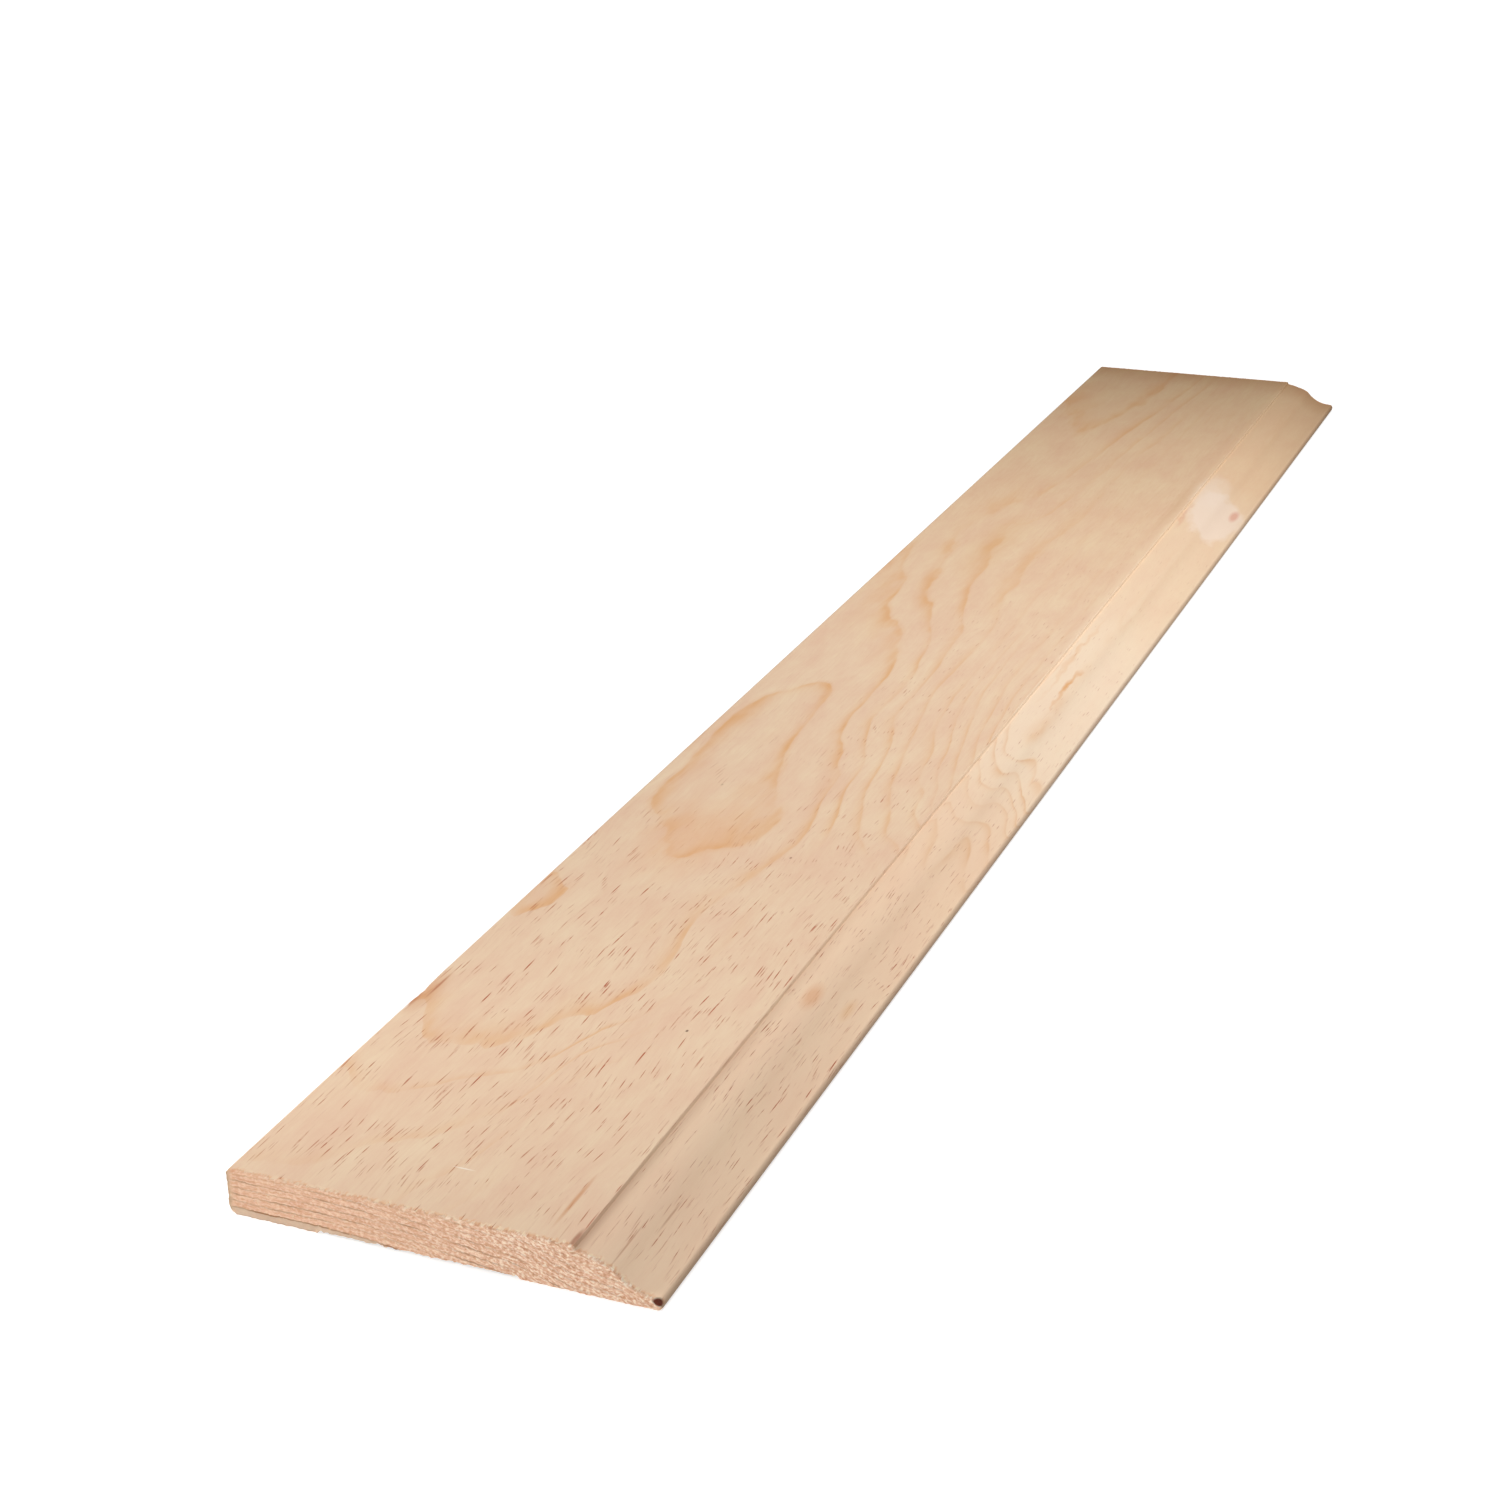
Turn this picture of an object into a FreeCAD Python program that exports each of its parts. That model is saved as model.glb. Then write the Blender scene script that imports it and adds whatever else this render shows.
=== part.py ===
"""A length of moulded pine skirting board, lying on its back with the moulded face up.

The board is one planed piece. Its section is drawn in the XZ plane and extruded along Y.
X runs across the board, from the thick edge that stands on the floor to the thin nose at the top.
Z runs through the thickness, from the back that meets the wall to the face.
The origin is the middle of the board's underside. Sizes are in millimetres, angles in degrees.
"""
import FreeCAD
import Part
import math
import os
from FreeCAD import Vector

# Overall sizes: a nominal 9/16 by 5 1/4 inch section, cut to 36 inches
length = 914.4
width = 133.35
thickness = 14.29

# The quirk, the small step where the flat face ends and the moulding begins
moulding_width = 25.6
quirk_drop = 1.1
quirk_lean = 0.3
quirk_radius = 0.3

# The ogee, a hollow arc and a round one with the same easy slope where they begin and end
ogee_slope = 6.0
landing_width = 3.0

# The nose, the thin upper edge
nose_thickness = 4.1
nose_radius = 1.9
nose_back_radius = 1.6

# The arrises of the thick edge
face_arris_radius = 1.0
back_arris_radius = 2.8

# The hollow planed out of the back, so that the board beds on two strips
base_strip_width = 28.5
top_strip_width = 42.0
hollow_depth = 1.2
hollow_flank = 1.4
hollow_radius = 0.9


def corner(x, z, radius=0.0):
    """A corner of the section, x from the thick edge and z from the back, with its rounding."""
    return {"at": Vector(x - width / 2, -length / 2, z), "radius": radius}


def rounding(before, turn, after):
    """The arc that eases a corner between two straight runs: its start, middle and end."""
    towards_before = (before["at"] - turn["at"]).normalize()
    towards_after = (after["at"] - turn["at"]).normalize()
    half_angle = towards_before.getAngle(towards_after) / 2
    reach = turn["radius"] / math.tan(half_angle)
    to_centre = turn["radius"] / math.sin(half_angle)
    inward = (towards_before + towards_after).normalize()
    start = turn["at"] + towards_before * reach
    middle = turn["at"] + inward * (to_centre - turn["radius"])
    end = turn["at"] + towards_after * reach
    return start, middle, end


def eased(corners):
    """The edges along a row of corners, each corner between the first and the last rounded."""
    edges = []
    here = corners[0]["at"]
    for before, turn, after in zip(corners, corners[1:], corners[2:]):
        start, middle, end = rounding(before, turn, after)
        edges.append(Part.LineSegment(here, start))
        edges.append(Part.Arc(start, middle, end))
        here = end
    edges.append(Part.LineSegment(here, corners[-1]["at"]))
    return edges


def bow(start, end, height):
    """An arc from start to end that stands off its chord by height, to the left of the way."""
    chord = end - start
    aside = Vector(-chord.z, 0, chord.x).normalize()
    return Part.Arc(start, (start + end) / 2 + aside * height, end)


def ogee(landing, quirk_foot):
    """The hollow arc up from the landing and the round one on to the foot of the quirk."""
    chord = quirk_foot - landing
    half_turn = math.atan2(chord.z, -chord.x) - math.radians(ogee_slope)
    height = chord.Length / 4 * math.tan(half_turn / 2)
    middle = (landing + quirk_foot) / 2
    return [bow(landing, middle, height), bow(middle, quirk_foot, -height)]


def section():
    """The closed outline of the board's section."""
    half_up_the_edge = corner(0, thickness / 2)
    hollow_end = width - top_strip_width
    quirk_top = width - moulding_width
    quirk_foot = corner(quirk_top + quirk_lean, thickness - quirk_drop)
    landing_rise = landing_width * math.tan(math.radians(ogee_slope))
    landing = corner(width - landing_width, nose_thickness + landing_rise)

    back_and_nose = eased([
        half_up_the_edge,
        corner(0, 0, back_arris_radius),
        corner(base_strip_width, 0, hollow_radius),
        corner(base_strip_width + hollow_flank, hollow_depth, hollow_radius),
        corner(hollow_end - hollow_flank, hollow_depth, hollow_radius),
        corner(hollow_end, 0, hollow_radius),
        corner(width, 0, nose_back_radius),
        corner(width, nose_thickness, nose_radius),
        landing,
    ])
    moulding = ogee(landing["at"], quirk_foot["at"])
    quirk_and_face = eased([
        quirk_foot,
        corner(quirk_top, thickness, quirk_radius),
        corner(0, thickness, face_arris_radius),
        half_up_the_edge,
    ])
    return Part.Wire([edge.toShape() for edge in back_and_nose + moulding + quirk_and_face])


def skirting_board():
    """The planed board: its section carried from one saw cut to the other."""
    return Part.Face(section()).extrude(Vector(0, length, 0))


os.makedirs("parts", exist_ok=True)
skirting_board().exportStep("parts/skirting_board.step")
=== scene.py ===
"""The look of a length of moulded pine skirting board, lying on its back under soft studio light."""
from math import asin, atan2, ceil, cos, hypot, radians, sin

import bmesh
import bpy
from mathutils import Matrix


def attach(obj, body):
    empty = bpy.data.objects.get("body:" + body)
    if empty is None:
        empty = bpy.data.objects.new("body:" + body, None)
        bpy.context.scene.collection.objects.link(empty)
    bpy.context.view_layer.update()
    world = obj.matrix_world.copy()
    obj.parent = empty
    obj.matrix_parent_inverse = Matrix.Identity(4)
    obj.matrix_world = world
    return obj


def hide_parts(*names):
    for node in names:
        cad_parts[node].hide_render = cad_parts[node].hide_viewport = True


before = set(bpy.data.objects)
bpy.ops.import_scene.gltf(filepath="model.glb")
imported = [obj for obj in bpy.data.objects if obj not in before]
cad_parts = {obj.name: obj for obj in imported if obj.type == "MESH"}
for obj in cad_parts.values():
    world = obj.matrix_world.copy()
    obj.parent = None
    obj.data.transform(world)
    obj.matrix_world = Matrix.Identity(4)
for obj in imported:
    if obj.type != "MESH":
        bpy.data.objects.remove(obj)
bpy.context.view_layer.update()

# The board: one length of radiata pine, planed all round to a stock section with a quirk and
# an ogee along its thin edge and a shallow hollow down its back, then sawn off square at both
# ends with a coarse saw that tears the fibres. It is left bare, with no primer or varnish.

MM = 0.001
LENGTH = 914.4
WIDTH = 133.35
THICKNESS = 14.29
NEAR_END = -LENGTH / 2
THICK_EDGE = -WIDTH / 2
THIN_EDGE = WIDTH / 2

# The moulding: a step down at the quirk, then the ogee, then a narrow landing at the thin edge.
# The ogee is an easy round, the turn where it breaks over and a hollow that runs out flat, each
# with its width and the slopes, in degrees, at which it starts and ends.
QUIRK_TOP = THIN_EDGE - 25.6
QUIRK_FOOT = QUIRK_TOP + 0.3
QUIRK_DROP = 1.1
OGEE_ARCS = ((9.6, 8, 24), (2.6, 24, 49), (10.1, 49, 4))
OGEE_STRIP = 0.8
NOSE_THICKNESS = 3.2

# The hollow that the planer takes out of the back.
HOLLOW_START = THICK_EDGE + 28.5
HOLLOW_END = THIN_EDGE - 42.0
HOLLOW_DEPTH = 1.2
HOLLOW_FLANK = 1.4


def select(mesh_object, parts, wanted):
    """Selects, of the verts, edges or faces, those whose every corner is wanted (in mm)."""
    bpy.ops.mesh.select_mode(type={"verts": "VERT", "edges": "EDGE", "faces": "FACE"}[parts])
    bpy.ops.mesh.select_all(action="DESELECT")
    mesh = bmesh.from_edit_mesh(mesh_object.data)
    for part in getattr(mesh, parts):
        corners = [part] if parts == "verts" else part.verts
        if all(wanted(*(corner.co / MM)) for corner in corners):
            part.select_set(True)
    bmesh.update_edit_mesh(mesh_object.data)


def score(across=None, along=None, up=None):
    """Scribes a line all round the board, so that it can change shape there."""
    bpy.ops.mesh.select_all(action="SELECT")
    place = [0 if value is None else value * MM for value in (across, along, up)]
    way = [0 if value is None else 1 for value in (across, along, up)]
    bpy.ops.mesh.bisect(plane_co=place, plane_no=way)


def at(value, aim):
    """Whether the value is at its aim, to a hundredth of a millimetre."""
    return abs(value - aim) < 0.01


# The blank, and the lines along which the cutters change its section.
bpy.ops.object.select_all(action="DESELECT")
bpy.ops.mesh.primitive_cube_add(
    size=1,
    location=(0, 0, THICKNESS / 2 * MM),
    scale=(WIDTH * MM, LENGTH * MM, THICKNESS * MM),
)
board = bpy.context.object
board.name = "pine_board"
bpy.ops.object.transform_apply(location=True, rotation=True, scale=True)
bpy.ops.object.mode_set(mode="EDIT")

# The height of the moulding at each line across it, from the foot of the quirk to the thin edge.
moulding = {}
foot = QUIRK_FOOT
height = THICKNESS - QUIRK_DROP
for arc_width, first_slope, last_slope in OGEE_ARCS:
    first, last = radians(first_slope), radians(last_slope)
    radius = arc_width / (sin(last) - sin(first))
    strips = ceil(arc_width / OGEE_STRIP)
    for strip in range(strips):
        slope = asin(sin(first) + arc_width / radius * strip / strips)
        moulding[foot + arc_width * strip / strips] = height - radius * (cos(first) - cos(slope))
    foot += arc_width
    height -= radius * (cos(first) - cos(last))
moulding[foot] = height
moulding[THIN_EDGE] = NOSE_THICKNESS

score(across=QUIRK_TOP)
for x in list(moulding)[:-1]:
    score(across=x)
for x, height in moulding.items():
    select(board, "verts", lambda px, py, pz: at(px, x) and pz > THICKNESS / 2)
    bpy.ops.transform.translate(value=(0, 0, (height - THICKNESS) * MM))

hollow = (HOLLOW_START, HOLLOW_START + HOLLOW_FLANK, HOLLOW_END - HOLLOW_FLANK, HOLLOW_END)
for x in hollow:
    score(across=x)
select(board, "verts", lambda px, py, pz: hollow[0] + 0.1 < px < hollow[3] - 0.1 and at(pz, 0))
bpy.ops.transform.translate(value=(0, 0, HOLLOW_DEPTH * MM))

# The arrises, each eased to the round that its cutter leaves: across, height, reach, segments.
for x, z, reach, segments in (
    (THICK_EDGE, THICKNESS, 1.0, 4),
    (THICK_EDGE, 0, 2.8, 7),
    (THIN_EDGE, NOSE_THICKNESS, 1.5, 7),
    (THIN_EDGE, 0, 1.5, 6),
    (QUIRK_TOP, THICKNESS, 0.23, 3),
    (hollow[0], 0, 0.33, 2),
    (hollow[1], HOLLOW_DEPTH, 0.33, 2),
    (hollow[2], HOLLOW_DEPTH, 0.33, 2),
    (hollow[3], 0, 0.33, 2),
):
    select(board, "edges", lambda px, py, pz: at(px, x) and at(pz, z))
    bpy.ops.mesh.bevel(offset=reach * MM, segments=segments, affect="EDGES")

# Fine lines for the torn fibres of the saw cuts, and for the bruise on the thick edge.
FIBRE = 0.6
BRUISE = 114
for step in range(1, int(WIDTH / FIBRE)):
    score(across=THICK_EDGE + step * FIBRE)
for step in range(1, int(THICKNESS / FIBRE)):
    score(up=step * FIBRE)
for depth in (0.4, 0.8, 1.3, 1.9, 2.8, 4.2, 6.5):
    score(along=NEAR_END + depth)
    score(along=-NEAR_END - depth)
for depth in range(BRUISE - 12, BRUISE + 14, 2):
    score(along=NEAR_END + depth)

bpy.ops.mesh.select_all(action="DESELECT")
bpy.ops.object.mode_set(mode="OBJECT")


def wear(mesh_object, name, amount, direction, grain, strength):
    """Pushes the surface about by a cloud of that grain, as far as amount says at each place."""
    group = mesh_object.vertex_groups.new(name=name)
    for corner in mesh_object.data.vertices:
        share = amount(*(corner.co / MM))
        if share > 0:
            group.add([corner.index], min(share, 1), "REPLACE")
    cloud = bpy.data.textures.new(name, "CLOUDS")
    cloud.noise_scale = grain * MM
    cloud.noise_depth = 1
    push = mesh_object.modifiers.new(name, "DISPLACE")
    push.texture = cloud
    push.texture_coords = "LOCAL"
    push.direction = direction
    push.mid_level = 0
    push.strength = strength * MM
    push.vertex_group = name
    bpy.context.view_layer.objects.active = mesh_object
    bpy.ops.object.modifier_apply(modifier=name)


def near_by(distance, reach):
    """One at the place itself, falling to nothing at its reach."""
    return max(1 - abs(distance) / reach, 0)


# Both saw cuts are rough and have torn arrises, and at the near end some fibres hang down into
# the hollow of the back. The thick edge was knocked once.
wear(board, "near_saw_cut", lambda x, y, z: near_by(y - NEAR_END, 3), "Y", 1.5, 0.8)
wear(board, "far_saw_cut", lambda x, y, z: near_by(y + NEAR_END, 3), "Y", 1.5, -0.8)
wear(
    board, "torn_arris",
    lambda x, y, z: near_by(LENGTH / 2 - abs(y), 1.6) * (abs(y) < LENGTH / 2 - 0.1),
    "NORMAL", 1.2, -0.4,
)
wear(
    board, "hanging_fibres",
    lambda x, y, z: near_by(y - NEAR_END, 3) * (hollow[1] < x < hollow[2] and z < 1.7),
    "Z", 1.6, -1.3,
)
wear(
    board, "bruise",
    lambda x, y, z: near_by(y - NEAR_END - BRUISE, 11) * near_by(x - THICK_EDGE, 3) * (z > 11),
    "NORMAL", 2.2, -0.8,
)
bpy.ops.object.select_all(action="DESELECT")
board.select_set(True)
bpy.context.view_layer.objects.active = board
bpy.ops.object.shade_smooth_by_angle(angle=radians(30))


def colour(code):
    """An sRGB colour written as RRGGBB, in the linear values that Blender works with."""
    parts = [int(code[place:place + 2], 16) / 255 for place in (0, 2, 4)]
    linear = [part / 12.92 if part < 0.04045 else ((part + 0.055) / 1.055) ** 2.4 for part in parts]
    return linear + [1]


def add(tree, kind, inputs=(), output=0, **settings):
    """Adds a node with its settings and its inputs, and gives back one of its outputs."""
    node = tree.nodes.new("ShaderNode" + kind)
    for name, value in settings.items():
        setattr(node, name, value)
    for name, value in dict(inputs).items():
        if isinstance(value, bpy.types.NodeSocket):
            tree.links.new(value, node.inputs[name])
        else:
            node.inputs[name].default_value = value
    return node.outputs[output]


# Radiata pine, planed and bare: pale straw to pink, with little contrast between the year
# rings, brown ticks where the planer opened the resin canals, and hardly any sheen.
pine = bpy.data.materials.new("planed_radiata_pine")
pine.use_nodes = True
tree = pine.node_tree
shader = tree.nodes["Principled BSDF"]

# Every pattern is placed in millimetres from the thick edge, from the near end and from the back.
place = add(tree, "Mapping", {
    "Vector": add(tree, "TexCoord", output="Object"),
    "Location": (WIDTH / 2, LENGTH / 2, 0),
    "Scale": (1 / MM, 1 / MM, 1 / MM),
})

across, along, up = add(tree, "SeparateXYZ", {0: place}).node.outputs
share_across = add(tree, "Math", {0: across, 1: WIDTH}, operation="DIVIDE")


def draw(socket, points, handle="AUTO_CLAMPED"):
    """Draws a curve through the points, each a place and a height between nothing and one."""
    curve = socket.node.mapping.curves[0]
    while len(curve.points) < len(points):
        curve.points.new(0.5, 0.5)
    for point, where in zip(curve.points, points):
        point.location = where
        point.handle_type = handle
    socket.node.mapping.update()


def by_length(shares):
    """The points of a curve that runs along the board, given by millimetres from the near end."""
    return [(way / LENGTH, share) for way, share in shares]


# The trunk wanders a little, so everything that grew in it does too.
wander = add(tree, "TexNoise", {
    "Vector": add(tree, "VectorMath", {0: place, 1: (1 / 20, 1 / 55, 1 / 20)}, operation="MULTIPLY"),
    "Scale": 1, "Detail": 1, "Roughness": 0.4,
}, output="Color")
wander = add(tree, "VectorMath", {0: wander, 1: (0.5, 0.5, 0.5)}, operation="SUBTRACT")
wander = add(tree, "VectorMath", {0: wander, 1: (8, 16, 0)}, operation="MULTIPLY")
grain = add(tree, "VectorMath", {0: place, 1: wander}, operation="ADD")
wander = add(tree, "VectorMath", {0: wander, 1: (0.4, 0.4, 0)}, operation="MULTIPLY")
grown = add(tree, "VectorMath", {0: place, 1: wander}, operation="ADD")
grown_across, grown_along, _ = add(tree, "SeparateXYZ", {0: grown}).node.outputs

# The year rings where they come out at the face, as lines drawn along the board at so many
# millimetres from the thick edge: the count of rings at so many millimetres from the near end.
# Whole numbers are the dark end of a year, and the count rises towards the bark.
FEWEST, MOST = -2, 16
face_rings = {
    4: ((0, 2.3), (8, 2), (61, 1), (107, 0), (140, -0.6), (172, -1), (186, -1.25), (201, -1),
        (225, -0.8), (300, -0.9), (335, -0.97), (370, -0.88), (420, -0.6), (500, -0.4),
        (560, -0.12), (575, 0), (700, 0.5), (826, 0), (914, -0.6)),
    16: ((0, 2.3), (9, 2), (50, 1), (85, 0), (150, -0.6), (185, -0.9), (225, -0.85), (245, -0.93),
         (260, -1), (275, -1.3), (320, -1.5), (365, -1.5), (382, -1.25), (390, -1), (402, -0.8),
         (440, -0.55), (500, -0.15), (528, 0), (560, 0.55), (600, 0.9), (700, 0.6), (801, 0),
         (860, -0.4), (914, -0.6)),
    24: ((0, 2.3), (17, 2), (55, 1), (83, 0), (120, -0.45), (180, -0.8), (230, -0.9), (249, -1),
         (270, -1.3), (320, -1.5), (370, -1.5), (392, -1.3), (402, -1), (412, -0.8), (440, -0.5),
         (486, 0), (515, 0.55), (545, 0.9), (575, 1), (605, 1.2), (637, 1), (700, 0.6), (779, 0),
         (820, -0.4), (914, -0.6)),
    30: ((0, 2.3), (27, 2), (60, 1), (84, 0), (120, -0.4), (180, -0.75), (225, -0.88), (240, -1),
         (244, -1.15), (262, -1.25), (300, -1.5), (360, -1.45), (388, -1.25), (399, -1),
         (410, -0.75), (440, -0.4), (479, 0), (500, 0.6), (516, 1), (530, 1.05), (550, 1.15),
         (600, 1.45), (653, 1), (700, 0.6), (760, 0.2), (789, 0), (830, -0.4), (914, -0.5)),
    37: ((0, 2.45), (29, 2), (67, 1), (87, 0), (120, -0.35), (180, -0.65), (215, -0.85), (229, -1),
         (234, -1.2), (262, -1.35), (290, -1.3), (318, -1.15), (331, -1), (360, -0.85),
         (400, -0.7), (440, -0.3), (467, 0), (490, 0.6), (508, 1), (530, 1.35), (560, 1.75),
         (590, 1.9), (617, 1.98), (640, 1.4), (668, 1), (740, 0.45), (817, 0), (914, -0.35)),
    44: ((0, 2.6), (35, 2), (72, 1), (94, 0), (130, -0.25), (180, -0.5), (225, -0.8), (241, -1),
         (246, -1.2), (262, -1.2), (285, -1.25), (307, -1), (340, -0.75), (390, -0.5), (441, 0),
         (465, 0.5), (482, 1), (510, 1.5), (541, 1.96), (556, 1.93), (567, 2), (585, 2.15),
         (600, 2.04), (612, 2.1), (624, 2), (645, 1.5), (715, 1.04), (780, 0.6), (820, 0.3),
         (848, 0), (914, -0.1)),
    58: ((0, 3.3), (17, 3), (35, 2.4), (56, 2), (72, 1.5), (88, 1), (117, 0), (160, -0.35),
         (190, -0.3), (220, -0.5), (250, -0.96), (264, -1.05), (280, -0.95), (310, -0.4), (337, 0),
         (355, 0.6), (372, 0.96), (395, 1), (415, 1.03), (440, 1.4), (484, 2), (520, 2.6),
         (584, 2.9), (640, 2.7), (690, 2.25), (780, 1.8), (830, 1.3), (914, 0.5)),
    65: ((0, 3.7), (40, 3), (85, 2.2), (110, 1), (136, 0), (158, -0.15), (171, 0), (188, 0.2),
         (209, 0), (245, -0.4), (265, -0.6), (295, -0.2), (315, 0), (325, 0.35), (341, 1),
         (360, 1.6), (378, 1.97), (400, 2.04), (430, 2.05), (450, 2.2), (480, 2.4), (500, 2.8),
         (514, 3), (545, 3), (580, 3.15), (605, 3.05), (640, 2.93), (700, 2.96), (760, 2.8),
         (914, 1.5)),
    72: ((0, 4.2), (40, 3.6), (84, 3), (110, 1.5), (130, 0.6), (157, 0.25), (185, 0.4), (219, 0.3),
         (243, 0.1), (262, -0.04), (275, 0.1), (287, 0.5), (302, 1), (330, 1.35), (355, 2),
         (375, 2.4), (397, 2.9), (412, 3.08), (440, 3.03), (482, 3.1), (517, 3.3), (584, 3.5),
         (640, 3.45), (800, 3.2), (914, 2.5)),
    81: ((0, 4.75), (60, 4.3), (110, 2.5), (150, 1.3), (185, 1.1), (228, 0.96), (262, 1.02),
         (280, 1.4), (302, 2), (320, 2.5), (345, 3), (365, 3.4), (397, 3.9), (410, 4.05),
         (450, 4.05), (500, 4.2), (584, 4.45), (914, 4.4)),
    90: ((0, 5.3), (33, 5), (80, 4.2), (130, 2.4), (170, 1.4), (205, 1.2), (240, 1.25),
         (260, 1.6), (271, 2), (302, 3), (320, 3.5), (349, 4), (372, 5), (395, 5.6), (410, 5.9),
         (440, 6.1), (500, 6.4), (914, 6.5)),
    99: ((0, 6.6), (70, 4.8), (130, 3), (180, 1.7), (225, 1.4), (250, 1.9), (262, 2.4), (272, 3),
         (290, 3.5), (312, 4), (328, 5), (356, 6), (380, 6.6), (405, 7), (450, 7.3), (914, 7.5)),
    107: ((0, 7.8), (60, 5.6), (120, 3.6), (170, 2.3), (220, 1.8), (245, 2.1), (262, 3), (285, 4),
          (298, 5), (319, 6), (350, 7), (375, 8), (420, 8.6), (914, 9.4)),
    110: ((0, 8), (60, 4.6), (120, 3.6), (200, 3.2), (240, 3.3), (275, 3.9), (296, 4.68),
          (311, 5.68), (336, 6.68), (347, 7.68), (371, 8.68), (388, 9.68), (420, 10.2),
          (914, 10.2)),
    115: ((0, 8.3), (60, 4.8), (120, 3.75), (200, 3.75), (240, 4.3), (262, 4.95), (290, 5.5),
          (303, 6.5), (324, 7.5), (338, 8.5), (357, 9.5), (370, 10.5), (400, 10.8), (914, 10.8)),
    121: ((0, 8.6), (60, 5.8), (120, 5.3), (200, 5.3), (230, 5.6), (246, 6.1), (262, 6.63),
          (294, 7.13), (308, 8.13), (328, 9.13), (342, 10.13), (359, 11.13), (371, 12.13),
          (400, 12.6), (914, 12.6)),
    127: ((0, 9.73), (60, 7.53), (120, 7.23), (200, 7.23), (235, 7.38), (249, 7.7), (257, 8.2),
          (278, 8.7), (300, 9.7), (324, 10.7), (332, 11.7), (344, 12.7), (360, 13.7),
          (390, 14.23), (914, 14.23)),
    133: ((0, 10.27), (60, 7.6), (120, 7.2), (200, 7.2), (230, 7.6), (248, 8.35), (258, 8.9),
          (278, 9.9), (303, 10.9), (312, 11.9), (325, 12.9), (345, 13.9), (380, 14.37),
          (914, 14.37)),
}
share_along = add(tree, "Math", {0: grown_along, 1: LENGTH}, operation="DIVIDE")
years = None
for line, counts in face_rings.items():
    count = add(tree, "FloatCurve", {"Value": share_along})
    draw(count, by_length((way, (rings - FEWEST) / (MOST - FEWEST)) for way, rings in counts))
    count = add(tree, "MapRange", {"Value": count, "To Min": FEWEST, "To Max": MOST})
    if years is None:
        years = count
    else:
        share = add(tree, "MapRange", {
            "Value": grown_across, "From Min": line_before, "From Max": line,
        })
        years = add(tree, "Mix", {0: share, 2: years, 3: count}, data_type="FLOAT")
    line_before = line

# Under the face the rings lie one below the other, a year's growth apart, and ripple a little.
YEAR = 2.2
ripple = add(tree, "TexNoise", {
    "Vector": add(tree, "VectorMath", {0: place, 1: (1 / 8, 1 / 24, 1 / 8)}, operation="MULTIPLY"),
    "Scale": 1, "Detail": 2,
})
ripple = add(tree, "MapRange", {"Value": ripple, "To Min": -0.13, "To Max": 0.13})
depth = add(tree, "Math", {0: up, 1: THICKNESS}, operation="SUBTRACT")
depth = add(tree, "Math", {0: depth, 1: YEAR}, operation="DIVIDE")
years = add(tree, "Math", {0: years, 1: depth}, operation="ADD")
years = add(tree, "Math", {0: years, 1: ripple}, operation="ADD")
season = add(tree, "Math", {0: years}, operation="FRACT")
year = add(tree, "Math", {0: years}, operation="FLOOR")

# The latewood through one season, and how strongly each year shows it, from the oldest to the
# youngest. It turns the wood more orange than dark, and comes and goes in patches.
late = add(tree, "FloatCurve", {"Value": season})
draw(late, ((0, 0.45), (0.04, 0.2), (0.1, 0), (0.42, 0), (0.58, 0.1), (0.72, 0.3), (0.83, 0.6),
            (0.91, 0.9), (0.95, 1), (0.98, 0.85), (1, 0.45)))
OLDEST, YOUNGEST = -6, 12
age = add(tree, "MapRange", {"Value": year, "From Min": OLDEST, "From Max": YOUNGEST})


def by_year(shares):
    """The points of a curve that gives each year its share, from the oldest to the youngest."""
    return [(count / (YOUNGEST - OLDEST), share) for count, share in enumerate(shares)]


strength = add(tree, "FloatCurve", {"Value": age})
draw(strength, by_year((
    0.3, 0.35, 1, 0.35, 0.75, 0.7, 0.65, 0.6, 0.5, 0.5, 0.5, 0.5, 0.55, 0.6, 0.6, 0.6, 0.6, 0.6, 0.6,
)), "VECTOR")
patchy = add(tree, "TexNoise", {
    "Vector": add(tree, "VectorMath", {0: place, 1: (1 / 9, 1 / 28, 1 / 9)}, operation="MULTIPLY"),
    "Scale": 1, "Detail": 2,
})
patchy = add(tree, "MapRange", {
    "Value": patchy, "From Min": 0.36, "From Max": 0.64, "To Min": 0.3, "To Max": 1.25,
})
# Towards the near end only the last of each season shows, as thin lines.
fine_from = add(tree, "MapRange", {
    "Value": along, "From Min": 150, "From Max": 240, "To Min": 0.7, "To Max": -1,
})
fine_to = add(tree, "MapRange", {
    "Value": along, "From Min": 150, "From Max": 240, "To Min": 0.92, "To Max": 0,
})
fine = add(tree, "MapRange", {"Value": season, "From Min": fine_from, "From Max": fine_to})
face_late = add(tree, "Math", {0: late, 1: strength}, operation="MULTIPLY")
face_late = add(tree, "Math", {0: face_late, 1: fine}, operation="MULTIPLY")
face_late = add(tree, "Math", {0: face_late, 1: patchy}, operation="MULTIPLY")
along_the_board = add(tree, "FloatCurve", {"Value": share_along})
draw(along_the_board, by_length((
    (0, 0.35), (70, 0.45), (100, 0.75), (150, 0.95), (240, 1), (560, 0.9), (640, 0.55), (740, 0.4),
    (790, 0.8), (914, 0.7),
)))
face_late = add(tree, "Math", {0: face_late, 1: along_the_board}, operation="MULTIPLY")
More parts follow.
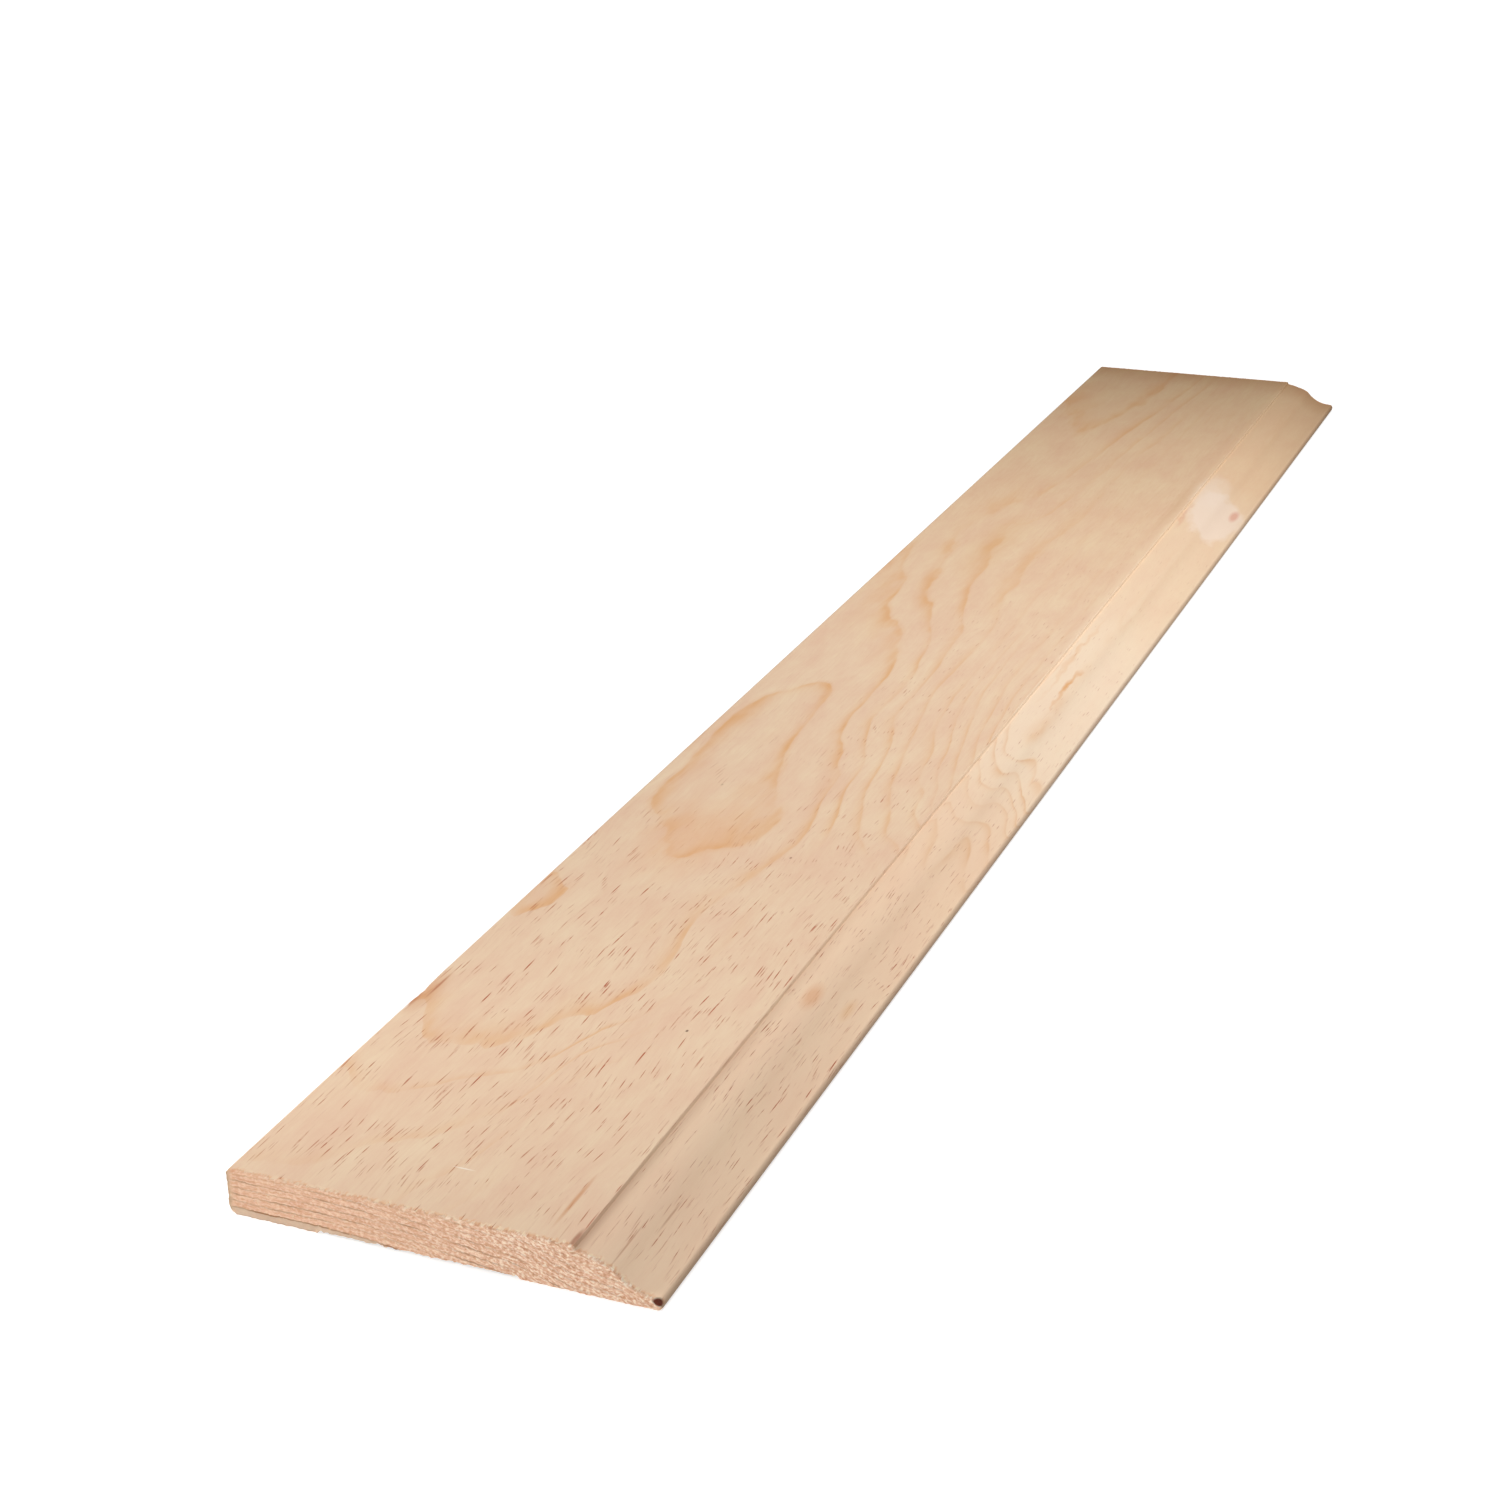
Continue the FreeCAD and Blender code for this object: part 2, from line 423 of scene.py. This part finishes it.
# Towards the quirk they are fainter: they hardly show on the near part, where the planer went
# through them steeply, are a little weaker further on, and weak on the far half, where they crowd
# together. For each part: where it begins and where it is full, across and along, and the share
# of the rings that is left.
for across_from, across_to, along_from, along_to, left in (
    (62, 80, 282, 252, 0.06),
    (52, 64, 270, 300, 0.75),
    (66, 80, 385, 500, 0.25),
):
    towards_quirk = add(tree, "MapRange", {
        "Value": across, "From Min": across_from, "From Max": across_to,
    })
    stretch = add(tree, "MapRange", {"Value": along, "From Min": along_from, "From Max": along_to})
    faint = add(tree, "Math", {0: towards_quirk, 1: stretch}, operation="MULTIPLY")
    faint = add(tree, "MapRange", {"Value": faint, "To Min": 1, "To Max": left})
    face_late = add(tree, "Math", {0: face_late, 1: faint}, operation="MULTIPLY")

# The planed face: cream and pink wood in soft patches of about 14 by 45 mm, drawn out along the
# grain, and fibres drawn as coarse as they need to be to show.
tone = add(tree, "TexNoise", {
    "Vector": add(tree, "VectorMath", {0: grain, 1: (1 / 14, 1 / 45, 1 / 14)}, operation="MULTIPLY"),
    "Scale": 1, "Detail": 6, "Roughness": 0.7,
})
tone = add(tree, "MapRange", {"Value": tone, "From Min": 0.33, "From Max": 0.67})
fibres = add(tree, "TexNoise", {
    "Vector": add(tree, "VectorMath", {0: grain, 1: (1 / 0.7, 1 / 22, 1 / 0.7)}, operation="MULTIPLY"),
    "Scale": 1, "Detail": 3, "Roughness": 0.6,
})
fibres = add(tree, "MapRange", {
    "Value": fibres, "From Min": 0.45, "From Max": 0.75, "To Min": 0, "To Max": 0.3,
})
pink, cream = colour("E2BEA2"), colour("E8CEAF")
face = add(tree, "Mix", {0: tone, 6: pink, 7: cream}, output=2, data_type="RGBA")
face = add(tree, "Mix", {0: fibres, 6: face, 7: colour("DCB494")}, output=2, data_type="RGBA")
# The moulding is painted paler all along: partly the wood, cut nearer to the bark, and partly
# painted light, with a painted cream sheen on its middle part. Further on that begins a little
# before the quirk.
pale_moulding = add(tree, "MapRange", {
    "Value": across,
    "From Min": add(tree, "MapRange", {
        "Value": along, "From Min": 420, "From Max": 560, "To Min": 107.4, "To Max": 103,
    }),
    "From Max": 108.2,
})
for code, shares in (
    ("F6D4B4", ((0, 0.45), (240, 0.55), (330, 0.35), (400, 0.25), (600, 0.25), (700, 0.35),
                (914, 0.35))),
    ("F2E2CB", ((0, 0), (230, 0), (310, 0.1), (400, 0.45), (480, 0.45), (560, 0.22), (640, 0.25),
                (700, 0.25), (750, 0), (914, 0))),
):
    sapwood_and_sheen = add(tree, "FloatCurve", {"Value": share_along})
    draw(sapwood_and_sheen, by_length(shares))
    sapwood_and_sheen = add(tree, "Math", {0: sapwood_and_sheen, 1: pale_moulding}, operation="MULTIPLY")
    face = add(tree, "Mix", {0: sapwood_and_sheen, 6: face, 7: colour(code)}, output=2, data_type="RGBA")
face = add(tree, "Mix", {0: face_late, 6: face, 7: colour("DCA876")}, output=2, data_type="RGBA")

# The sawn ends: salmon, in layers along the rings, torn into cream flecks towards the moulding.
# They begin at a ragged line along the arris, a little over a millimetre from the cut.
rough_edge = add(tree, "TexNoise", {
    "Vector": add(tree, "VectorMath", {0: place, 1: (1 / 1.3, 1 / 2.5, 1 / 1.3)}, operation="MULTIPLY"),
    "Scale": 1, "Detail": 3,
})
rough_edge = add(tree, "MapRange", {
    "Value": rough_edge, "From Min": 0.3, "From Max": 0.7, "To Min": -0.8, "To Max": 0.8,
})
from_middle = add(tree, "Math", {0: along, 1: LENGTH / 2}, operation="SUBTRACT")
from_middle = add(tree, "Math", {0: from_middle}, operation="ABSOLUTE")
from_middle = add(tree, "Math", {0: from_middle, 1: rough_edge}, operation="ADD")
sawn = add(tree, "MapRange", {
    "Value": from_middle, "From Min": LENGTH / 2 - 1.5, "From Max": LENGTH / 2 - 1.1,
})
on_face = add(tree, "Math", {0: 1, 1: sawn}, operation="SUBTRACT")
growth = add(tree, "Math", {0: years, 1: YEAR}, operation="MULTIPLY")
with_rings = add(tree, "CombineXYZ", {"X": across, "Y": along, "Z": growth})
layer = (1 / 9, 1 / 5, 1 / 0.6)
layers = add(tree, "TexNoise", {
    "Vector": add(tree, "VectorMath", {0: with_rings, 1: layer}, operation="MULTIPLY"),
    "Scale": 1, "Detail": 5, "Roughness": 0.7,
})
layers = add(tree, "MapRange", {"Value": layers, "From Min": 0.36, "From Max": 0.64})
torn_tuft = (1 / 1.2, 1 / 3, 1 / 0.65)
fleck = add(tree, "TexNoise", {
    "Vector": add(tree, "VectorMath", {0: with_rings, 1: torn_tuft}, operation="MULTIPLY"),
    "Scale": 1, "Detail": 3, "Roughness": 0.65,
})
pale_fleck = add(tree, "MapRange", {"Value": fleck, "From Min": 0.5, "From Max": 0.6})
dark_fleck = add(tree, "MapRange", {"Value": fleck, "From Min": 0.45, "From Max": 0.36})
torn = add(tree, "FloatCurve", {"Value": share_across})
draw(torn, ((0, 0.35), (0.25, 0.45), (0.45, 0.6), (0.6, 0.85), (0.75, 1), (1, 1)))
pale_fleck = add(tree, "Math", {0: pale_fleck, 1: torn}, operation="MULTIPLY")
dark_fleck = add(tree, "Math", {0: dark_fleck, 1: torn}, operation="MULTIPLY")
dark_fleck = add(tree, "Math", {0: dark_fleck, 1: 0.7}, operation="MULTIPLY")
salmon, pale_salmon = colour("DEA986"), colour("F3CDAE")
end = add(tree, "Mix", {0: layers, 6: salmon, 7: pale_salmon}, output=2, data_type="RGBA")
end = add(tree, "Mix", {0: pale_fleck, 6: end, 7: colour("FFE9D2")}, output=2, data_type="RGBA")
end = add(tree, "Mix", {0: dark_fleck, 6: end, 7: colour("CA8A66")}, output=2, data_type="RGBA")
# Behind the strong ring near the back the wood is greyer.
behind = add(tree, "MapRange", {"Value": years, "From Min": -3, "From Max": -3.15, "To Max": 0.75})
end = add(tree, "Mix", {0: behind, 6: end, 7: colour("D9C0A6")}, output=2, data_type="RGBA")
# Across the grain the latewood is darker than on the face, and lies in sharper lines.
end_late = add(tree, "FloatCurve", {"Value": season})
draw(end_late, ((0, 0.3), (0.06, 0), (0.6, 0), (0.78, 0.3), (0.88, 1), (0.97, 0.9), (1, 0.3)))
end_strength = add(tree, "FloatCurve", {"Value": age})
draw(end_strength, by_year((
    0.3, 0.35, 1, 0.4, 0.6, 0.4, 0.55, 0.35, 0.25, 0.3, 0.25, 0.2, 0.3, 0.2, 0.3, 0.2, 0.3, 0.3, 0.3,
)), "VECTOR")
end_late = add(tree, "Math", {0: end_late, 1: end_strength}, operation="MULTIPLY")
end_late = add(tree, "Math", {0: end_late, 1: patchy}, operation="MULTIPLY")
end = add(tree, "Mix", {0: end_late, 6: end, 7: colour("A4714E")}, output=2, data_type="RGBA")
# Along its arris the planed face has a fringe of fibres that the saw pulled up.
fringe = add(tree, "MapRange", {
    "Value": from_middle, "From Min": LENGTH / 2 - 3, "From Max": LENGTH / 2 - 1.3,
})
lifted = add(tree, "MapRange", {"Value": fleck, "From Min": 0.53, "From Max": 0.46, "To Max": 0.6})
lifted = add(tree, "Math", {0: lifted, 1: fringe}, operation="MULTIPLY")
face = add(tree, "Mix", {0: lifted, 6: face, 7: colour("E3A472")}, output=2, data_type="RGBA")
bright = add(tree, "Math", {0: pale_fleck, 1: fringe}, operation="MULTIPLY")
face = add(tree, "Mix", {0: bright, 6: face, 7: colour("F6DFBC")}, output=2, data_type="RGBA")

# The saw came out at the thick edge and rubbed its last fibres pale.
rubbed = add(tree, "MapRange", {"Value": across, "From Min": 2.2, "From Max": 0.6, "To Max": 0.7})
end = add(tree, "Mix", {0: rubbed, 6: end, 7: colour("DDBC9A")}, output=2, data_type="RGBA")
body = add(tree, "Mix", {0: sawn, 6: face, 7: end}, output=2, data_type="RGBA")

# Resin canals, cut open along their length as brown ticks. Where the surface slopes they lie
# closer. They come in crowds and break off along their length.
flat = add(tree, "SeparateXYZ", {0: grain}).node.outputs
flat = add(tree, "CombineXYZ", {
    "X": add(tree, "Math", {0: flat["X"], 1: flat["Z"]}, operation="SUBTRACT"), "Y": flat["Y"],
})
broken = add(tree, "TexNoise", {
    "Vector": add(tree, "VectorMath", {0: place, 1: (1 / 1.5, 1 / 4.5, 0)}, operation="MULTIPLY"),
    "Scale": 1, "Detail": 1,
})
broken = add(tree, "MapRange", {"Value": broken, "From Min": 0.38, "From Max": 0.48, "To Min": 0.3})
# For each kind of canal: its cell in mm across and along, its least and most thickness as a share
# of the cell, the share of cells with none, how dark it is, the share that is left towards the
# thick edge, and how clearly it shows along the board.
for cell, thin, thick, none, dark, left_over, shares in (
    ((1.1, 23), 0.08, 0.23, 0.2, 1.0, 1, (
        (0, 1), (190, 1), (250, 0.15), (430, 0.06), (600, 0), (914, 0))),
    ((1.4, 34), 0.06, 0.18, 0.2, 1.0, 1, (
        (0, 1), (190, 1), (250, 0.7), (320, 0.3), (430, 0.08), (600, 0), (914, 0))),
    ((1.3, 13), 0.12, 0.2, 0.4, 0.65, 0.15, (
        (0, 0.4), (150, 0.5), (240, 0.8), (420, 0.7), (520, 0.4), (700, 0.2), (800, 0), (914, 0))),
):
    cell_width, cell_length = cell
    cells = (1 / cell_width, 1 / cell_length, 0)
    canal = add(tree, "TexVoronoi", {
        "Vector": add(tree, "VectorMath", {0: flat, 1: cells}, operation="MULTIPLY"),
        "Scale": 1,
    }, voronoi_dimensions="2D")
    chance, how_dark, _ = add(tree, "SeparateColor", {0: canal.node.outputs["Color"]}).node.outputs
    size = add(tree, "MapRange", {"Value": chance, "To Min": thin, "To Max": thick})
    canal = add(tree, "Math", {0: canal, 1: size}, operation="DIVIDE")
    canal = add(tree, "MapRange", {"Value": canal, "From Min": 1.1, "From Max": 0.5})
    # The cell's length, put to the height, gives each kind of canal crowds of its own.
    crowds = (1 / 9, 1 / 30, cell_length)
    crowd = add(tree, "TexNoise", {
        "Vector": add(tree, "VectorMath", {0: place, 1: crowds}, operation="MULTIPLY"),
        "Scale": 1, "Detail": 1,
    })
    crowd = add(tree, "MapRange", {
        "Value": crowd, "From Min": 0.43, "From Max": 0.53, "To Min": 0.15, "To Max": 1,
    })
    here = add(tree, "FloatCurve", {"Value": share_along})
    draw(here, by_length(shares))
    how_dark = add(tree, "MapRange", {
        "Value": how_dark, "From Min": none, "From Max": 0.9, "To Max": dark,
    })
    inner = add(tree, "MapRange", {
        "Value": across, "From Min": 45, "From Max": 60, "To Min": left_over,
    })
    for share in (crowd, broken, here, how_dark, inner, on_face):
        canal = add(tree, "Math", {0: canal, 1: share}, operation="MULTIPLY")
    body = add(tree, "Mix", {0: canal, 6: body, 7: colour("A84A28")}, output=2, data_type="RGBA")

# Marks that this one length has: place along and across, half its length and width, how soft its
# rim is, how strong it is, and its colour. The long ones have a ragged rim. Those on the arris of
# the thick edge reach a few millimetres down that edge.
LONG = 13
BY_THE_EDGE = 5
smudge = add(tree, "TexNoise", {
    "Vector": add(tree, "VectorMath", {0: place, 1: (1 / 6, 1 / 14, 1 / 6)}, operation="MULTIPLY"),
    "Scale": 1, "Detail": 2,
}, output="Color")
smudge = add(tree, "VectorMath", {0: smudge, 1: (0.5, 0.5, 0.5)}, operation="SUBTRACT")
smudge = add(tree, "VectorMath", {0: smudge, 1: (6, 30, 0)}, operation="MULTIPLY")
smudge = add(tree, "VectorMath", {0: place, 1: smudge}, operation="ADD")
for mark_along, mark_across, half_length, half_width, rim, strong, code in (
    (682, 121, 31, 12, 0.2, 0.7, "F5E3D8"),
    (705, 113, 26, 7, 0.5, 0.5, "F5E3D8"),
    (675, 104, 40, 3, 0.9, 0.2, "BF9464"),
    (697, 127, 8, 2, 0.5, 0.6, "D9907A"),
    (662, 109.5, 14, 0.8, 0.9, 0.4, "D9977A"),
    (440, 117.2, 18, 0.9, 0.7, 0.75, "D8954F"),
    (470, 111.5, 40, 0.9, 0.9, 0.35, "DDA468"),
    (157, 115.3, 8, 2.5, 0.6, 0.55, "DD9F70"),
    (163, 125, 7, 1.5, 0.6, 0.35, "DDA970"),
    (21, 98.6, 12, 0.7, 0.6, 0.6, "C78454"),
    (113, 2.5, 12, 3.4, 0.9, 0.6, "C98C5E"),
    (118, 3.8, 8, 0.5, 0.6, 0.7, "AE6440"),
    (106, 1.2, 6, 0.8, 0.6, 0.5, "AE6440"),
    (101.5, 0.4, 2.5, 0.9, 0.5, 0.7, "F6EADC"),
    (4, 107, 5, 0.9, 0.5, 0.7, "9A5E43"),
    (12, 118.2, 11, 0.25, 0.6, 0.45, "A8603C"),
    (33, 121.5, 8, 0.25, 0.6, 0.4, "9A5A3C"),
    (246, 36, 27, 15, 0.9, 0.42, "E2AB80"),
    (590, 38, 40, 9, 0.9, 0.3, "D9AD7C"),
    (118, 89.4, 0.7, 0.45, 0.5, 0.85, "5A3826"),
    (243, 74, 0.8, 0.45, 0.5, 0.6, "7B4A35"),
    (293, 27, 0.7, 0.4, 0.5, 0.5, "8A6A4E"),
    (24.6, 62.5, 0.3, 3.2, 0.6, 0.7, "F8EEE4"),
):
    where = smudge if half_length > LONG else place
    middle = (mark_across, mark_along, THICKNESS)
    down = 1 / BY_THE_EDGE if mark_across < BY_THE_EDGE else 0
    reach = (1 / half_width, 1 / half_length, down)
    off = add(tree, "VectorMath", {0: where, 1: middle}, operation="SUBTRACT")
    off = add(tree, "VectorMath", {0: off, 1: reach}, operation="MULTIPLY")
    off = add(tree, "VectorMath", {0: off}, output="Value", operation="LENGTH")
    mark = add(tree, "MapRange", {
        "Value": off, "From Min": 1 + rim / 2, "From Max": 1 - rim, "To Max": strong,
    })
    mark = add(tree, "Math", {0: mark, 1: on_face}, operation="MULTIPLY")
    body = add(tree, "Mix", {0: mark, 6: body, 7: colour(code)}, output=2, data_type="RGBA")

# Both long edges are painted darker where they round over, the thin one more: painted shade
# along the outline of the board.
painted_edge_shade = add(tree, "FloatCurve", {"Value": share_across})
draw(painted_edge_shade, ((0, 0.35), (0.4 / WIDTH, 0.2), (1 / WIDTH, 0),
              (1 - 1 / WIDTH, 0), (1 - 0.5 / WIDTH, 0.3), (1, 0.55)), "VECTOR")
body = add(tree, "Mix", {0: painted_edge_shade, 6: body, 7: colour("8A6A50")}, output=2, data_type="RGBA")

# Painted shadow: towards the near end the strip just past the foot of the quirk is painted darker,
# where the step casts its shadow on the moulding.
painted_quirk_shadow = add(tree, "MapRange", {"Value": across, "From Min": 110.2, "From Max": 108.4})
past_quirk = add(tree, "MapRange", {"Value": across, "From Min": 107.5, "From Max": 107.7})
painted_quirk_shadow = add(tree, "Math", {0: painted_quirk_shadow, 1: past_quirk}, operation="MULTIPLY")
quirk_shadow_along = add(tree, "FloatCurve", {"Value": share_along})
draw(quirk_shadow_along, by_length(((0, 0.42), (40, 0.32), (90, 0.16), (180, 0.08), (260, 0), (914, 0))))
painted_quirk_shadow = add(tree, "Math", {0: painted_quirk_shadow, 1: quirk_shadow_along}, operation="MULTIPLY")
painted_quirk_shadow = add(tree, "Math", {0: painted_quirk_shadow, 1: on_face}, operation="MULTIPLY")
body = add(tree, "Mix", {0: painted_quirk_shadow, 6: body, 7: colour("A07B62")}, output=2, data_type="RGBA")

# Painted light: further on, the wall and foot of the quirk, which lie in shade, are painted pale
# so that they read as lit.
painted_quirk_light = add(tree, "MapRange", {"Value": across, "From Min": 109, "From Max": 108.4, "To Max": 0.45})
painted_quirk_light = add(tree, "Math", {0: painted_quirk_light, 1: past_quirk}, operation="MULTIPLY")
quirk_light_along = add(tree, "MapRange", {"Value": along, "From Min": 240, "From Max": 420})
painted_quirk_light = add(tree, "Math", {0: painted_quirk_light, 1: quirk_light_along}, operation="MULTIPLY")
body = add(tree, "Mix", {0: painted_quirk_light, 6: body, 7: colour("F8DDC0")}, output=2, data_type="RGBA")

# A knock has crushed the near corner of the thin edge and left it dark.
off = add(tree, "VectorMath", {0: place, 1: (132.2, 0, 2.8)}, operation="SUBTRACT")
off = add(tree, "VectorMath", {0: off, 1: (1 / 1.8, 1 / 2.2, 1 / 1.3)}, operation="MULTIPLY")
off = add(tree, "VectorMath", {0: off}, output="Value", operation="LENGTH")
bruised = add(tree, "MapRange", {"Value": off, "From Min": 1.15, "From Max": 0.7})
body = add(tree, "Mix", {0: bruised, 6: body, 7: colour("5A2410")}, output=2, data_type="RGBA")

# Towards the far end the wood is painted darker and yellower: partly painted shade, where the
# light falls off along the board, and partly a warmer tone. The saw cuts take much less of it.
far_shade_and_tint = add(tree, "ValToRGB", {0: share_along})
ramp = far_shade_and_tint.node.color_ramp
ramp.elements[0].color = colour("FFFFFF")
ramp.elements[1].color = colour("B49F80")
for where, code in (
    (0.5, "FFFFFE"), (0.7, "FAF6EE"), (0.84, "EFE9DD"), (0.93, "DCD5C5"), (0.97, "D0C7B5"),
):
    ramp.elements.new(where).color = colour(code)
darkened_share = add(tree, "MapRange", {"Value": sawn, "To Min": 1, "To Max": 0.35})
body = add(tree, "Mix", {
    0: darkened_share, 6: body, 7: far_shade_and_tint,
}, output=2, data_type="RGBA", blend_type="MULTIPLY")

# The sawn wood is rough to the eye between its torn fibres, a third of a millimetre deep, and the
# planed wood is smooth and dull.
relief = add(tree, "Math", {0: fleck, 1: layers}, operation="ADD")
relief = add(tree, "Math", {0: relief, 1: sawn}, operation="MULTIPLY")
bump = add(tree, "Bump", {"Height": relief, "Strength": 0.7, "Distance": 0.0003})
tree.links.new(body, shader.inputs["Base Color"])
tree.links.new(bump, shader.inputs["Normal"])
shader.inputs["Roughness"].default_value = 0.7
shader.inputs["Specular IOR Level"].default_value = 0.2
board.data.materials.append(pine)

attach(board, "root")
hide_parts("skirting_board")

# The studio: a sheet of pale paper on a table, with the white of the room behind it. The
# paper reads white to the camera and keeps the soft shadow that the board drops on it. It is
# a little less bright close to the board, so that the shadow shows.
bpy.ops.object.select_all(action="DESELECT")
bpy.ops.mesh.primitive_plane_add(size=12, location=(0, 0, 0))
floor = bpy.context.object
floor.name = "studio_floor"
paper = bpy.data.materials.new("white_paper")
paper.use_nodes = True
tree = paper.node_tree
shader = tree.nodes["Principled BSDF"]
shader.inputs["Base Color"].default_value = colour("C8C8C8")
shader.inputs["Roughness"].default_value = 0.9
shader.inputs["Emission Color"].default_value = (1, 1, 1, 1)
from_board = add(tree, "TexCoord", output="Object")
from_board = add(tree, "VectorMath", {0: from_board, 1: (1, 0.35, 0)}, operation="MULTIPLY")
from_board = add(tree, "VectorMath", {0: from_board}, output="Value", operation="LENGTH")
white = add(tree, "MapRange", {
    "Value": from_board, "From Min": 0.16, "From Max": 0.4, "To Min": 0.62, "To Max": 1,
})


def looked_at(tree):
    """One where something is seen, straight, in a shine or through glass, and else nothing."""
    ray = add(tree, "LightPath").node.outputs
    seen = add(tree, "Math", {0: ray["Is Camera Ray"], 1: ray["Is Glossy Ray"]}, operation="MAXIMUM")
    return add(tree, "Math", {0: seen, 1: ray["Is Transmission Ray"]}, operation="MAXIMUM")


shown = add(tree, "Math", {0: looked_at(tree), 1: white}, operation="MULTIPLY")
tree.links.new(shown, shader.inputs["Emission Strength"])
floor.data.materials.append(paper)


def lamp(name, place, aim, size, power, spread=180):
    """A soft box of that size in metres, turned to face its aim, its light held to a spread."""
    bpy.ops.object.light_add(type="AREA", location=place)
    light = bpy.context.object
    light.name = name
    light.data.shape = "RECTANGLE"
    light.data.size, light.data.size_y = size
    light.data.energy = power
    light.data.spread = radians(spread)
    light.visible_camera = False
    away = [place[axis] - aim[axis] for axis in range(3)]
    light.rotation_euler = (
        atan2(hypot(away[0], away[1]), away[2]), 0, atan2(away[1], away[0]) + radians(90),
    )


# One lamp over the board and one that grazes the near end of the face, one for the near saw cut,
# and two for the moulding, of which the second keeps the far end from going dark.
lamp("overhead_soft_box", (0.12, 0.04, 0.58), (0.02, 0.04, 0), (0.4, 0.3), 2.16)
lamp("left_soft_box", (-0.54, -0.62, 0.29), (0.01, -0.36, 0), (0.085, 0.085), 0.14, 45)
lamp("front_soft_box", (0.1, -1.35, 0.3), (0, -0.45, 0), (0.4, 0.3), 4.8)
lamp("right_soft_box", (0.6, 0.35, 0.2), (0.05, 0.1, 0), (0.15, 0.15), 0.5)
lamp("far_right_soft_box", (0.32, 1.15, 0.52), (0.05, 0, 0), (0.5, 0.5), 1.5)

# The room gives a weak light from all round, and is white where it is looked at.
world = bpy.data.worlds.new("studio")
bpy.context.scene.world = world
world.use_nodes = True
tree = world.node_tree
background = tree.nodes["Background"]
background.inputs["Color"].default_value = (1, 1, 1, 1)
level = add(tree, "MapRange", {"Value": looked_at(tree), "To Min": 0.33, "To Max": 1})
tree.links.new(level, background.inputs["Strength"])

# The camera stands beyond the near end, to the right of the board, and looks down along it.
bpy.ops.object.camera_add(
    location=(0.3159, -0.9807, 0.4074),
    rotation=(radians(66.916), radians(1.101), radians(22.386)),
)
camera = bpy.context.object
camera.data.lens = 63.15
camera.data.sensor_width = 36
camera.data.clip_start = 0.05
bpy.context.scene.camera = camera
bpy.context.scene.view_settings.view_transform = "Standard"
